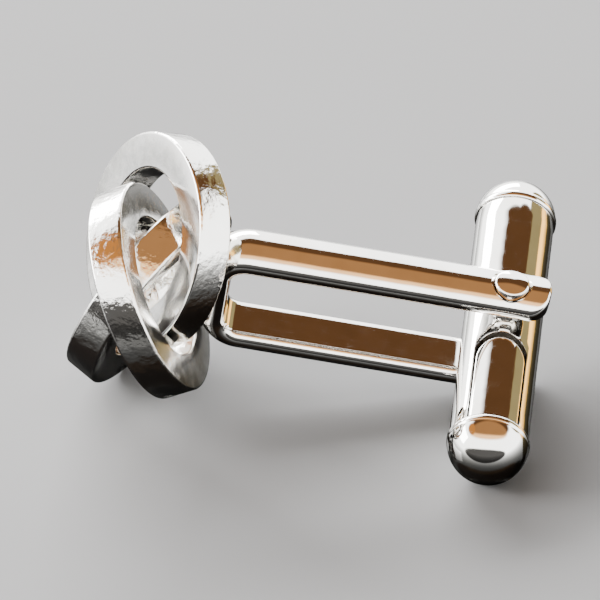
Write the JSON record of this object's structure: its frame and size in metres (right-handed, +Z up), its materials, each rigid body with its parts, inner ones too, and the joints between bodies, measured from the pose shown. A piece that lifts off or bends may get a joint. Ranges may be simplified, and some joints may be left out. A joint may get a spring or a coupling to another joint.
{
  "type": "knot cufflink",
  "caption": "Cufflink with a knot of three linked flat-sided rings on a U-shaped post, and a torpedo bar that swivels on a pin at the post's end.",
  "frame": {"origin": "middle of the lying cufflink's footprint, on the table", "axes": "+X from the knot to the bar, +Z up, and -Y is the side the picture was taken from"},
  "size_m": [0.027, 0.021, 0.0149],
  "materials": {
    "plated_metal": "mirror polish",
    "pin_metal": "mirror polish"
  },
  "bodies": {
    "link": {"ring_upper": "plated_metal", "ring_near": "plated_metal", "ring_lower": "plated_metal", "post": "plated_metal", "hinge_pin": "pin_metal"},
    "bar": {"bar_body": "plated_metal", "tongue": "plated_metal", "cap_near": "plated_metal", "cap_far": "plated_metal"}
  },
  "joints": [
    {"name": "bar_swivel", "type": "hinge", "parent": "link", "child": "bar", "pos_m": [0.0106, 0, 0.00429], "axis": [0.1547, -0.2409, 0.9581], "range_deg": [-90, 90]}
  ]
}
